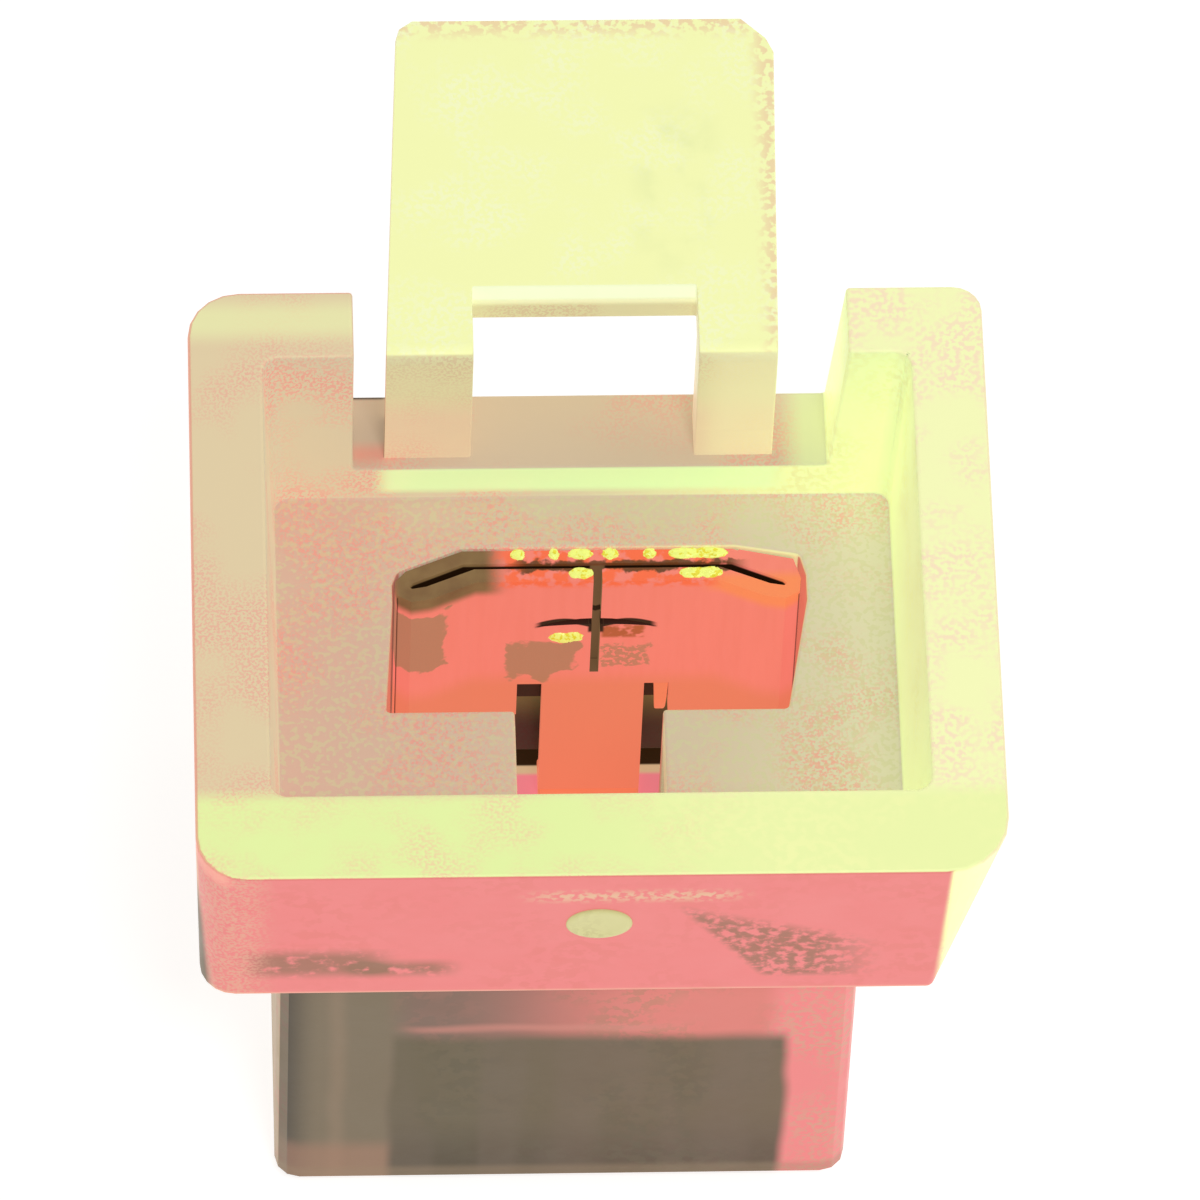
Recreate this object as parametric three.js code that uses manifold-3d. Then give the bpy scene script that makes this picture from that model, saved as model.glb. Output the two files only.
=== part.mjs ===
// A sub-miniature plug-in relay in a clear nylon housing, in millimetres.
// It stands on its rear end face at z = 0 with the mating face up (+Z).
// The latch lever is on the +Y side, and X runs across the width of the housing.
import * as THREE from "three";
import { ConvexGeometry } from "three/addons/geometries/ConvexGeometry.js";
import { mergeVertices } from "three/addons/utils/BufferGeometryUtils.js";
import Module from "manifold-3d";

const wasm = await Module();
wasm.setup();

// ---- Driving dimensions -------------------------------------------------------------
const GAP = 0.05; // clearance between pieces that touch
const HEIGHT = 13.8; // rear end face to mating face

// Flange: the wide front part around the recess
const FLANGE_HALF_X = 8.05;
const FLANGE_HALF_Y = 7.0;
const FLANGE_REAR_Z = 8.4;
const FLANGE_REAR_LEFT = -7.95;
const FLANGE_REAR_RIGHT = 6.75; // the right wall slopes in, so the plug only fits one way
const FLANGE_REAR_NEAR = -6.35;
const FLANGE_REAR_FAR = 6.9;

// Recess that the mating plug fills, narrower at its floor
const RECESS_HALF_X = 6.55;
const RECESS_FAR_Y = 5.4;
const RECESS_NEAR_Y = -5.05;
const RECESS_DRAFT = 0.25;
const RECESS_FAR_DRAFT = 0.35;
const FLOOR_Z = 9.15;

// Notch in the +Y wall, and the latch lever that stands in it
const NOTCH_LEFT = -4.7;
const NOTCH_RIGHT = 5.0;
const NOTCH_FLARE = 0.3; // the notch's right side opens out toward the mating face
const NOTCH_Z = 10.1;
const LEVER_ROOT_X = [-4.1, 3.85]; // sides of the lever at its arms
const LEVER_TIP_X = [-3.7, 4.05]; // and at its tip
const LEVER_ARM = 1.0; // thickness of the upright arms
const LEVER_PLATE = 0.8; // thickness of the finger plate
const LEVER_TIP_Y = 13.7;
const GUSSET_X = 0.7;
const GUSSET_TIP_Y = 10.3;
const WINDOW_HALF_X = 2.28;
const WINDOW_TOP_Y = 6.85;
const WINDOW_BEVEL = 0.55;

// Rear case: four walls behind the flange
const CASE_X = -0.55; // the case sits off the centre of the flange
const CASE_HALF_X = 5.85;
const CASE_HALF_Y = 5.9;
const CASE_WALL = 0.4;
const CASE_CHAMFER = 0.5; // height of the chamfer round the rear edge
const CASE_CHAMFER_INSET = 0.3;
const BASE_THICK = 0.9;

// Terminal chamber behind the T-shaped slot, whose sides lean toward +X
const SLOT_FOOT_X = [-4.1, 4.05]; // ends of the wide part at its foot
const SLOT_TOP_X = [-3.92, 4.52]; // and beside the receptacle
const SLOT_SIDE_Y = 2.5; // the sides run straight from here on
const SLOT_TOP_Y = 3.82;
const SLOT_FOOT_Y = -0.13;
const STEM_HALF_X = 1.5;
const STEM_FOOT_Y = -2.6;
const CHAMBER_WALL = 0.3;
const CHAMBER_END_Z = 1.4;
const STEM_CUT_Z = 5.7;

// Receptacle for a flat blade, folded from sheet
const RECEPTACLE_X = 0.28; // middle of the receptacle
const SHEET = 0.32;
const BARREL_END_Z = 4.1;
const SEAM_END_Z = 5.7;
const SEAM_HALF_X = 0.09;
const RELIEF_TOP_Z = 5.25; // top of the relief notches on each side of the neck
const RELIEF_HALF_X = 1.57;
const SLIT_Z = 7.4;
const SLIT_HALF_X = 1.26;
const NECK_HALF_X = 1.05;
const NECK_END_Z = 1.2;
const PLATE_MID_Y = 3.6;
const FLAP_MID_Y = 3.16;

// Coil and magnet frame
const WORKS_X = -0.45; // middle of the works
const COIL_Y = -2.95;
const COIL_Z = 3.55;
const CORE_R = 0.8;
const POLE_R = 1.2;
const BARREL_R = 1.05;
const WINDING_R = 1.7;
const BOBBIN_R = 1.85;
const BOBBIN_FLANGE = 0.35;
const YOKE_THICK = 0.5;
const YOKE_HALF_Y = 1.75;
const BOBBIN_LEFT = WORKS_X - 3.25;
const BOBBIN_RIGHT = WORKS_X + 4.1;
const YOKE_LEFT = WORKS_X - 3.95;
const YOKE_RIGHT = WORKS_X + 4.65;
const YOKE_TOP_Z = 5.95;

// Contact set
const ARMATURE_THICK = 0.4;
const ARMATURE_X = YOKE_LEFT - GAP; // face of the armature that meets the pole
const LEAF = 0.15; // contact spring thickness
const CONTACT_Z = 1.3;
const CONTACT_R = 0.3;
const STRIP = 0.2; // fixed contact terminal thickness
const STRIP_HALF_Y = 0.55;
const PIN_INSET = 0.15; // terminals end this far above the rear end face

// ---- Helpers ------------------------------------------------------------------------
const pieces = [];

/** A closed geometry with its corners shared, as the boolean library needs it. */
function welded(geometry) {
  const bare = geometry.clone();
  bare.deleteAttribute("normal");
  bare.deleteAttribute("uv");
  return mergeVertices(bare, 1e-5);
}

/** A three.js geometry as a solid that can be cut and joined. */
function solid(geometry) {
  const shared = welded(geometry);
  return new wasm.Manifold(
    new wasm.Mesh({
      numProp: 3,
      vertProperties: new Float32Array(shared.attributes.position.array),
      triVerts: new Uint32Array(shared.index.array),
    }),
  );
}

/** A cut or joined solid as a three.js geometry. */
function geometryOf(manifold) {
  const mesh = manifold.getMesh();
  const geometry = new THREE.BufferGeometry();
  geometry.setAttribute("position", new THREE.BufferAttribute(mesh.vertProperties, 3));
  geometry.setIndex(new THREE.BufferAttribute(mesh.triVerts, 1));
  const flat = geometry.toNonIndexed();
  flat.computeVertexNormals();
  return flat;
}

/** A box from its lowest to its highest corner. */
function box(low, high) {
  const size = high.map((value, i) => value - low[i]);
  const geometry = new THREE.BoxGeometry(...size);
  geometry.translate(...low.map((value, i) => value + size[i] / 2));
  return geometry;
}

/** A round bar along X, centred at y, z. */
function barX(fromX, toX, radius, y, z, sides = 32) {
  const geometry = new THREE.CylinderGeometry(radius, radius, toX - fromX, sides);
  geometry.rotateZ(Math.PI / 2);
  geometry.translate((fromX + toX) / 2, y, z);
  return geometry;
}

/** A turned piece: [x, radius] points spun about the line through y, z along X. */
function turnedX(points, y, z, sides = 40) {
  const profile = points.map(([x, radius]) => new THREE.Vector2(radius, x));
  const geometry = new THREE.LatheGeometry(profile, sides);
  geometry.rotateZ(-Math.PI / 2);
  geometry.translate(0, y, z);
  return geometry;
}

/** A plate with the outline in XY, from z0 to z1. */
function plateZ(outline, z0, z1) {
  const geometry = new THREE.ExtrudeGeometry(outline, { depth: z1 - z0, bevelEnabled: false });
  geometry.translate(0, 0, z0);
  return geometry;
}

/** A plate with the outline drawn in Y and Z, from x0 to x1. */
function plateX(points, x0, x1) {
  const outline = new THREE.Shape(points.map(([y, z]) => new THREE.Vector2(y, z)));
  const geometry = new THREE.ExtrudeGeometry(outline, { depth: x1 - x0, bevelEnabled: false });
  geometry.rotateY(Math.PI / 2);
  geometry.rotateX(Math.PI / 2);
  geometry.translate(x0, 0, 0);
  return geometry;
}

/** Corner points of a rectangle whose corners are rounded, counter-clockwise from +X +Y. */
function roundedRing({ left, right, near, far, radii, z, steps = 5 }) {
  const corners = [
    [right, far, -1, -1, 0],
    [left, far, 1, -1, 1],
    [left, near, 1, 1, 2],
    [right, near, -1, 1, 3],
  ];
  return corners.flatMap(([x, y, inX, inY, quarter]) => {
    const radius = Math.max(radii[quarter], 0.001);
    const centreX = x + inX * radius;
    const centreY = y + inY * radius;
    return Array.from({ length: steps + 1 }, (_, i) => {
      const angle = ((quarter + i / steps) * Math.PI) / 2;
      return new THREE.Vector3(
        centreX + radius * Math.cos(angle),
        centreY + radius * Math.sin(angle),
        z,
      );
    });
  });
}

/** Adds one named piece of the relay. */
function add(name, geometry, material) {
  const mesh = new THREE.Mesh(geometry, material);
  mesh.name = name;
  pieces.push(mesh);
}

// ---- Materials ----------------------------------------------------------------------
function plastic(color, roughness) {
  return new THREE.MeshStandardMaterial({ color, roughness, metalness: 0 });
}

function metal(color, roughness) {
  return new THREE.MeshStandardMaterial({ color, roughness, metalness: 1 });
}

const nylon = plastic(0xe6e6a8, 0.4);
const latchNylon = plastic(0xf1ffb0, 0.4);
const caseNylon = plastic(0xa8926f, 0.45);
const copperAlloy = metal(0xef7868, 0.35);
const wireCopper = metal(0xb05a35, 0.4);
const steel = metal(0x9a9a96, 0.4);
const silver = metal(0xd8d8d2, 0.3);
const darkPlastic = plastic(0x4a4636, 0.6);

// ---- Housing ------------------------------------------------------------------------
/** Outside of the flange: full size at the mating face, sloped in toward the rear. */
function flangeBody() {
  const front = roundedRing({
    left: -FLANGE_HALF_X,
    right: FLANGE_HALF_X,
    near: -FLANGE_HALF_Y,
    far: FLANGE_HALF_Y,
    radii: [0.6, 1.05, 1.0, 1.3],
    z: HEIGHT,
  });
  const rear = roundedRing({
    left: FLANGE_REAR_LEFT,
    right: FLANGE_REAR_RIGHT,
    near: FLANGE_REAR_NEAR,
    far: FLANGE_REAR_FAR,
    radii: [0.6, 0.9, 0.7, 0.15],
    z: FLANGE_REAR_Z,
  });
  return solid(new ConvexGeometry([...front, ...rear]));
}

/** The space that the mating plug fills. */
function recessSpace() {
  const mouth = roundedRing({
    left: -RECESS_HALF_X,
    right: RECESS_HALF_X,
    near: RECESS_NEAR_Y,
    far: RECESS_FAR_Y,
    radii: [0.3, 0.3, 0.3, 0.3],
    z: HEIGHT + GAP,
    steps: 3,
  });
  const floor = roundedRing({
    left: -RECESS_HALF_X + RECESS_DRAFT,
    right: RECESS_HALF_X - RECESS_DRAFT,
    near: RECESS_NEAR_Y + RECESS_DRAFT,
    far: RECESS_FAR_Y - RECESS_FAR_DRAFT,
    radii: [0.3, 0.3, 0.3, 0.3],
    z: FLOOR_Z,
    steps: 3,
  });
  return solid(new ConvexGeometry([...mouth, ...floor]));
}

/** The notch in the +Y wall. */
function notchSpace() {
  const top = HEIGHT + 1;
  const flare = (NOTCH_FLARE * (top - NOTCH_Z)) / (HEIGHT - NOTCH_Z);
  const corners = [];
  for (const y of [RECESS_FAR_Y - 1.5, FLANGE_HALF_Y + 1]) {
    corners.push(new THREE.Vector3(NOTCH_LEFT, y, NOTCH_Z));
    corners.push(new THREE.Vector3(NOTCH_RIGHT, y, NOTCH_Z));
    corners.push(new THREE.Vector3(NOTCH_LEFT, y, top));
    corners.push(new THREE.Vector3(NOTCH_RIGHT + flare, y, top));
  }
  return solid(new ConvexGeometry(corners));
}

/** Outline of the wide part of the terminal slot, grown by a wall thickness. */
function slotOutline(grow) {
  const left = SLOT_TOP_X[0] - grow;
  const right = SLOT_TOP_X[1] + grow;
  const foot = SLOT_FOOT_Y - grow;
  const top = SLOT_TOP_Y + grow;
  const points = [
    [SLOT_FOOT_X[1] + grow, foot],
    [right, SLOT_SIDE_Y],
    [right, top - 0.72],
    [right - 0.12, top - 0.24],
    [right - 1.42, top],
    [left + 1.42, top],
    [left + 0.12, top - 0.55],
    [left, top - 0.87],
    [left, SLOT_SIDE_Y],
    [SLOT_FOOT_X[0] - grow, foot],
  ];
  return new THREE.Shape(points.map(([x, y]) => new THREE.Vector2(x, y)));
}

function frontShroud() {
  const chamber = solid(plateZ(slotOutline(CHAMBER_WALL), CHAMBER_END_Z, FLANGE_REAR_Z + 0.3));
  const wideSlot = solid(plateZ(slotOutline(0), 0, HEIGHT));
  const stem = solid(
    box([-STEM_HALF_X, STEM_FOOT_Y, STEM_CUT_Z], [STEM_HALF_X, SLOT_FOOT_Y + 0.2, HEIGHT]),
  );
  return flangeBody()
    .subtract(recessSpace())
    .subtract(notchSpace())
    .add(chamber)
    .subtract(wideSlot)
    .subtract(stem);
}

/** Outline of the lever from above: its sides spread a little, and its tip has cut corners. */
function leverOutline() {
  const points = [
    [LEVER_ROOT_X[0], RECESS_FAR_Y - 1],
    [LEVER_ROOT_X[1], RECESS_FAR_Y - 1],
    [LEVER_TIP_X[1], LEVER_TIP_Y - 0.85],
    [LEVER_TIP_X[1] - 0.15, LEVER_TIP_Y - 0.5],
    [LEVER_TIP_X[1] - 0.65, LEVER_TIP_Y],
    [LEVER_TIP_X[0] + 0.35, LEVER_TIP_Y],
    [LEVER_TIP_X[0] + 0.08, LEVER_TIP_Y - 0.2],
    [LEVER_TIP_X[0], LEVER_TIP_Y - 0.5],
  ];
  return new THREE.Shape(points.map(([x, y]) => new THREE.Vector2(x, y)));
}

/** The latch: two upright arms from the notch's floor, with a finger plate at their top. */
function latchLever() {
  const foot = NOTCH_Z + GAP;
  const inner = RECESS_FAR_Y;
  const outer = inner + LEVER_ARM;
  const plateLow = HEIGHT - LEVER_PLATE;
  const round = 0.35;
  const wide = 5; // blanks start wider than the lever, and the outline trims them
  const angle = [
    [inner, foot],
    [outer, foot],
    [outer, plateLow],
    [LEVER_TIP_Y, plateLow],
    [LEVER_TIP_Y, HEIGHT],
    [inner + round, HEIGHT],
    [inner + round * 0.3, HEIGHT - round * 0.3],
    [inner, HEIGHT - round],
  ];
  const gusset = [
    [outer - 0.2, foot + 0.5],
    [outer, foot + 0.5],
    [GUSSET_TIP_Y, plateLow],
    [GUSSET_TIP_Y, plateLow + 0.2],
    [outer - 0.2, plateLow + 0.2],
  ];
  // The window runs from the foot up between the arms, and has a bevel along its upper edge.
  const window = [
    [inner - 1, foot - 1],
    [outer + GAP, foot - 1],
    [outer + GAP, plateLow - GAP],
    [WINDOW_TOP_Y, plateLow],
    [WINDOW_TOP_Y, HEIGHT - 0.15],
    [WINDOW_TOP_Y + WINDOW_BEVEL, HEIGHT + 0.2],
    [WINDOW_TOP_Y + WINDOW_BEVEL, HEIGHT + 1],
    [inner - 1, HEIGHT + 1],
  ];
  return solid(plateX(angle, -wide, wide))
    .add(solid(plateX(gusset, -wide, LEVER_ROOT_X[0] + GUSSET_X)))
    .add(solid(plateX(gusset, LEVER_ROOT_X[1] - GUSSET_X, wide)))
    .intersect(solid(plateZ(leverOutline(), 0, HEIGHT + 1)))
    .subtract(solid(plateX(window, -WINDOW_HALF_X, WINDOW_HALF_X)));
}

function caseRing(inset, z) {
  return roundedRing({
    left: CASE_X - CASE_HALF_X + inset,
    right: CASE_X + CASE_HALF_X - inset,
    near: -CASE_HALF_Y + inset,
    far: CASE_HALF_Y - inset,
    radii: [0.5, 0.5, 0.5, 0.5],
    z,
    steps: 3,
  });
}

const INNER_X = CASE_HALF_X - CASE_WALL;
const INNER_Y = CASE_HALF_Y - CASE_WALL;

function rearCase() {
  const outside = new ConvexGeometry([
    ...caseRing(CASE_CHAMFER_INSET, 0),
    ...caseRing(0, CASE_CHAMFER),
    ...caseRing(0, FLANGE_REAR_Z - GAP),
  ]);
  const inside = box([CASE_X - INNER_X, -INNER_Y, -1], [CASE_X + INNER_X, INNER_Y, HEIGHT]);
  return solid(outside).subtract(solid(inside));
}

// ---- Terminals and their slots in the base ------------------------------------------
const NO_X = WORKS_X - 3.6; // face of the normally open strip toward the armature
const NC_X = WORKS_X - 5.1; // face of the normally closed strip toward the armature
const COIL_POSTS = { a: WORKS_X - 1.6, b: WORKS_X + 2.6 };
const POST_Y = -5.05;
const POST_HALF_X = 0.3;
const POST_HALF_Y = 0.13;
const POST_TOP_Z = 2.4;
const STRIP_TOP_Z = 1.72;

/** Feet of the four terminals where they pass through the base. */
function terminalFeet() {
  const low = COIL_Y - STRIP_HALF_Y;
  const high = COIL_Y + STRIP_HALF_Y;
  const strips = [
    { low: [NO_X, low], high: [NO_X + STRIP, high] },
    { low: [NC_X - STRIP, low], high: [NC_X, high] },
  ];
  const posts = Object.values(COIL_POSTS).map((x) => ({
    low: [x - POST_HALF_X, POST_Y - POST_HALF_Y],
    high: [x + POST_HALF_X, POST_Y + POST_HALF_Y],
  }));
  return [...strips, ...posts];
}

function rearBase() {
  const pocket = 0.35;
  const pocketDepth = 0.45;
  let base = solid(
    box(
      [CASE_X - INNER_X + GAP, -INNER_Y + GAP, 0],
      [CASE_X + INNER_X - GAP, INNER_Y - GAP, BASE_THICK],
    ),
  );
  for (const foot of terminalFeet()) {
    const slotLow = foot.low.map((value) => value - GAP);
    const slotHigh = foot.high.map((value) => value + GAP);
    const pocketLow = foot.low.map((value) => value - pocket);
    const pocketHigh = foot.high.map((value) => value + pocket);
    base = base
      .subtract(solid(box([...slotLow, -1], [...slotHigh, 2])))
      .subtract(solid(box([...pocketLow, -1], [...pocketHigh, pocketDepth])));
  }
  return base;
}

/** Outline of a folded tube of sheet: a middle line, made into a ring of even thickness. */
function foldedRing(middle, thickness) {
  const offsetLine = (distance) =>
    middle.map((point, i) => {
      const before = middle[(i + middle.length - 1) % middle.length];
      const after = middle[(i + 1) % middle.length];
      const along = new THREE.Vector2(after[0] - before[0], after[1] - before[1]).normalize();
      return new THREE.Vector2(point[0] + along.y * distance, point[1] - along.x * distance);
    });
  const ring = new THREE.Shape(offsetLine(thickness / 2));
  ring.holes.push(new THREE.Path(offsetLine(-thickness / 2)));
  return ring;
}

/** Cross slit in the flaps: a shallow bow, drawn in X and Z. */
function bowSlit() {
  const bow = new THREE.Shape();
  bow.moveTo(-SLIT_HALF_X, SLIT_Z);
  bow.quadraticCurveTo(0, SLIT_Z + 0.65, SLIT_HALF_X, SLIT_Z);
  bow.quadraticCurveTo(0, SLIT_Z + 0.2, -SLIT_HALF_X, SLIT_Z);
  const slit = new THREE.ExtrudeGeometry(bow, { depth: 1.3, bevelEnabled: false, curveSegments: 8 });
  slit.rotateX(Math.PI / 2);
  slit.translate(0, FLAP_MID_Y + SHEET / 2 + 0.05, 0);
  return solid(slit);
}

/** The blade receptacle: a flat barrel with a seam between its flaps, and a neck. */
function bladeReceptacle() {
  const leftHalf = [
    [0, FLAP_MID_Y],
    [-2.5, FLAP_MID_Y],
    [-3.45, 2.76],
    [-3.8, 2.7],
    [-3.97, 2.8],
    [-3.99, 2.98],
    [-3.84, 3.14],
    [-2.75, PLATE_MID_Y],
  ];
  const rightHalf = leftHalf
    .slice(1)
    .map(([x, y]) => [-x, y])
    .reverse();
  const section = foldedRing([...rightHalf, ...leftHalf].reverse(), SHEET);
  const barrelTop = FLOOR_Z - GAP;
  const barrel = solid(plateZ(section, BARREL_END_Z, barrelTop));
  // The sheet lies double over the right-hand fold, which squares the corner of the mouth.
  const lap = new THREE.Shape(
    [
      [2.75, PLATE_MID_Y],
      [3.84, 3.14],
      [3.99, 2.98],
      [4.14, 3.02],
      [4.0, 3.5],
      [2.9, 3.74],
    ].map(([x, y]) => new THREE.Vector2(x, y)),
  );
  const flapLow = FLAP_MID_Y - SHEET / 2;
  const flapHigh = FLAP_MID_Y + SHEET / 2;
  const seam = solid(
    box([-SEAM_HALF_X, 2, SEAM_END_Z], [SEAM_HALF_X, flapHigh + GAP, HEIGHT]),
  );
  const neck = solid(
    box([-NECK_HALF_X, flapLow, NECK_END_Z], [NECK_HALF_X, flapHigh, BARREL_END_Z + 0.5]),
  );
  let receptacle = barrel
    .add(solid(plateZ(lap, BARREL_END_Z, barrelTop)))
    .subtract(seam)
    .subtract(bowSlit())
    .add(neck);
  for (const side of [-1, 1]) {
    const edges = [side * NECK_HALF_X, side * RELIEF_HALF_X].sort((a, b) => a - b);
    const relief = box([edges[0], 2, BARREL_END_Z - 1], [edges[1], flapHigh + GAP, RELIEF_TOP_Z]);
    receptacle = receptacle.subtract(solid(relief));
  }
  return receptacle.translate([RECEPTACLE_X, 0, 0]);
}

/** Flat strap from the foot of the receptacle's neck to the magnet frame. */
function commonStrap() {
  const low = BASE_THICK + GAP;
  const high = low + STRIP;
  const sideLeft = YOKE_RIGHT + GAP;
  const sideRight = CASE_X + INNER_X - GAP;
  const neckLeft = RECEPTACLE_X - NECK_HALF_X;
  const neckRight = RECEPTACLE_X + NECK_HALF_X;
  return solid(box([neckLeft, 1.3, low], [neckRight, 3.8, high]))
    .add(solid(box([neckLeft, 1.3, low], [sideRight, 2.3, high])))
    .add(solid(box([sideLeft, COIL_Y - 0.3, low], [sideRight, 1.5, high])))
    .add(solid(box([sideLeft, COIL_Y - 0.3, low], [sideLeft + STRIP, COIL_Y + 1.2, 2.6])));
}

/** A terminal strip that carries a contact button. */
function contactStrip(fromX) {
  const strip = solid(
    box(
      [fromX, COIL_Y - STRIP_HALF_Y, PIN_INSET],
      [fromX + STRIP, COIL_Y + STRIP_HALF_Y, STRIP_TOP_Z],
    ),
  );
  const hole = solid(barX(fromX - 1, fromX + 1, CONTACT_R * 0.6, COIL_Y, CONTACT_Z, 16));
  return strip.subtract(hole);
}

/** A contact button with its shank: face at faceX, shank pointing along direction. */
function contactButton(faceX, direction, headThick, shankLength) {
  const head = faceX + direction * headThick;
  const end = head + direction * shankLength;
  const profile = [
    [end, 0],
    [end, CONTACT_R * 0.45],
    [head, CONTACT_R * 0.45],
    [head, CONTACT_R],
    [faceX + direction * 0.05, CONTACT_R],
    [faceX, CONTACT_R * 0.8],
    [faceX, 0],
  ];
  const ordered = direction > 0 ? profile.reverse() : profile;
  return turnedX(ordered, COIL_Y, CONTACT_Z, 24);
}

// ---- Coil and magnet frame ----------------------------------------------------------
function coilBobbin() {
  const bore = CORE_R + GAP;
  const left = BOBBIN_LEFT;
  const right = BOBBIN_RIGHT;
  return turnedX(
    [
      [left, bore],
      [left, BOBBIN_R],
      [left + BOBBIN_FLANGE, BOBBIN_R],
      [left + BOBBIN_FLANGE, BARREL_R],
      [right - BOBBIN_FLANGE, BARREL_R],
      [right - BOBBIN_FLANGE, BOBBIN_R],
      [right, BOBBIN_R],
      [right, bore],
      [left, bore],
    ],
    COIL_Y,
    COIL_Z,
  );
}

function coilWinding() {
  const left = BOBBIN_LEFT + BOBBIN_FLANGE + GAP;
  const right = BOBBIN_RIGHT - BOBBIN_FLANGE - GAP;
  const inner = BARREL_R + GAP;
  return turnedX(
    [
      [left, inner],
      [left, WINDING_R],
      [right, WINDING_R],
      [right, inner],
      [left, inner],
    ],
    COIL_Y,
    COIL_Z,
  );
}

function ironCore() {
  const face = ARMATURE_X + 0.25;
  const neck = BOBBIN_LEFT - GAP;
  return turnedX(
    [
      [face, 0],
      [face, POLE_R],
      [neck, POLE_R],
      [neck, CORE_R],
      [YOKE_RIGHT - GAP, CORE_R],
      [YOKE_RIGHT - GAP, 0],
    ],
    COIL_Y,
    COIL_Z,
  );
}

const RIVET_X = WORKS_X - 2.0;
const RIVET_HOLE_R = 0.25;

/** L-shaped magnet frame with a hole for the core and one for the leaf's rivet. */
function yokeFrame() {
  const near = COIL_Y - YOKE_HALF_Y;
  const far = COIL_Y + YOKE_HALF_Y;
  const longLeg = box([YOKE_LEFT, near, YOKE_TOP_Z - YOKE_THICK], [YOKE_RIGHT, far, YOKE_TOP_Z]);
  const shortLeg = box(
    [YOKE_RIGHT - YOKE_THICK, near, 1.75],
    [YOKE_RIGHT, far, YOKE_TOP_Z - YOKE_THICK + 0.1],
  );
  const coreHole = barX(YOKE_RIGHT - 1, YOKE_RIGHT + 1, CORE_R + GAP, COIL_Y, COIL_Z);
  return solid(longLeg).add(solid(shortLeg)).subtract(solid(coreHole)).subtract(rivetHole());
}

function rivetHole() {
  const hole = new THREE.CylinderGeometry(RIVET_HOLE_R, RIVET_HOLE_R, 2, 16);
  hole.rotateX(Math.PI / 2);
  hole.translate(RIVET_X, COIL_Y, YOKE_TOP_Z);
  return solid(hole);
}

/** Leaf that presses the armature off the pole, riveted on top of the frame. */
function returnLeaf() {
  const low = YOKE_TOP_Z + GAP;
  return solid(
    box([ARMATURE_X - 0.3, COIL_Y - 0.65, low], [WORKS_X - 1.3, COIL_Y + 0.65, low + 0.12]),
  ).subtract(rivetHole());
}

/** Rivet that holds the leaf: head on top, shank through leaf and frame. */
function leafRivet() {
  const shankR = RIVET_HOLE_R - GAP;
  const headZ = YOKE_TOP_Z + 2 * GAP + 0.12;
  const profile = [
    [0, YOKE_TOP_Z - YOKE_THICK + GAP],
    [shankR, YOKE_TOP_Z - YOKE_THICK + GAP],
    [shankR, headZ],
    [shankR + 0.2, headZ],
    [shankR + 0.15, headZ + 0.15],
    [0, headZ + 0.22],
  ];
  const geometry = new THREE.LatheGeometry(
    profile.map(([radius, z]) => new THREE.Vector2(radius, z)),
    20,
  );
  geometry.rotateX(Math.PI / 2);
  geometry.translate(RIVET_X, COIL_Y, 0);
  return geometry;
}

// ---- Armature and contact spring ----------------------------------------------------
const SPRING_X = ARMATURE_X - ARMATURE_THICK - GAP; // face of the spring toward the armature
const SPRING_RIVET_Z = 4.9;
const SPRING_RIVET_R = 0.2;

function armaturePlate() {
  const plate = box(
    [ARMATURE_X - ARMATURE_THICK, COIL_Y - 1.55, 1.9],
    [ARMATURE_X, COIL_Y + 1.55, YOKE_TOP_Z - 0.03],
  );
  const hole = barX(SPRING_X - 1, ARMATURE_X + 1, SPRING_RIVET_R + GAP, COIL_Y, SPRING_RIVET_Z, 16);
  return solid(plate).subtract(solid(hole));
}

function contactSpring() {
  const leaf = box(
    [SPRING_X - LEAF, COIL_Y - 0.5, BASE_THICK + 0.08],
    [SPRING_X, COIL_Y + 0.5, 5.6],
  );
  const rivet = barX(SPRING_X - 1, SPRING_X + 1, SPRING_RIVET_R + GAP, COIL_Y, SPRING_RIVET_Z, 16);
  const contact = barX(SPRING_X - 1, SPRING_X + 1, CONTACT_R * 0.45 + GAP, COIL_Y, CONTACT_Z, 16);
  return solid(leaf).subtract(solid(rivet)).subtract(solid(contact));
}

function springRivet() {
  const headX = SPRING_X - LEAF - GAP;
  return turnedX(
    [
      [headX - 0.2, 0],
      [headX - 0.15, SPRING_RIVET_R + 0.1],
      [headX, SPRING_RIVET_R + 0.15],
      [headX, SPRING_RIVET_R],
      [ARMATURE_X - GAP, SPRING_RIVET_R],
      [ARMATURE_X - GAP, 0],
    ],
    COIL_Y,
    SPRING_RIVET_Z,
    20,
  );
}

/** Double-headed button that meets the fixed contacts on both sides. */
function movingContact() {
  const shank = CONTACT_R * 0.45;
  const leftHead = SPRING_X - LEAF - GAP;
  const rightHead = SPRING_X + GAP;
  return turnedX(
    [
      [leftHead - 0.2, 0],
      [leftHead - 0.2, CONTACT_R * 0.8],
      [leftHead - 0.15, CONTACT_R],
      [leftHead, CONTACT_R],
      [leftHead, shank],
      [rightHead, shank],
      [rightHead, CONTACT_R],
      [rightHead + 0.15, CONTACT_R],
      [rightHead + 0.2, CONTACT_R * 0.8],
      [rightHead + 0.2, 0],
    ],
    COIL_Y,
    CONTACT_Z,
    24,
  );
}

// ---- Coil leads and resistor --------------------------------------------------------
function coilPost(x) {
  return box(
    [x - POST_HALF_X, POST_Y - POST_HALF_Y, PIN_INSET],
    [x + POST_HALF_X, POST_Y + POST_HALF_Y, POST_TOP_Z],
  );
}

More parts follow.
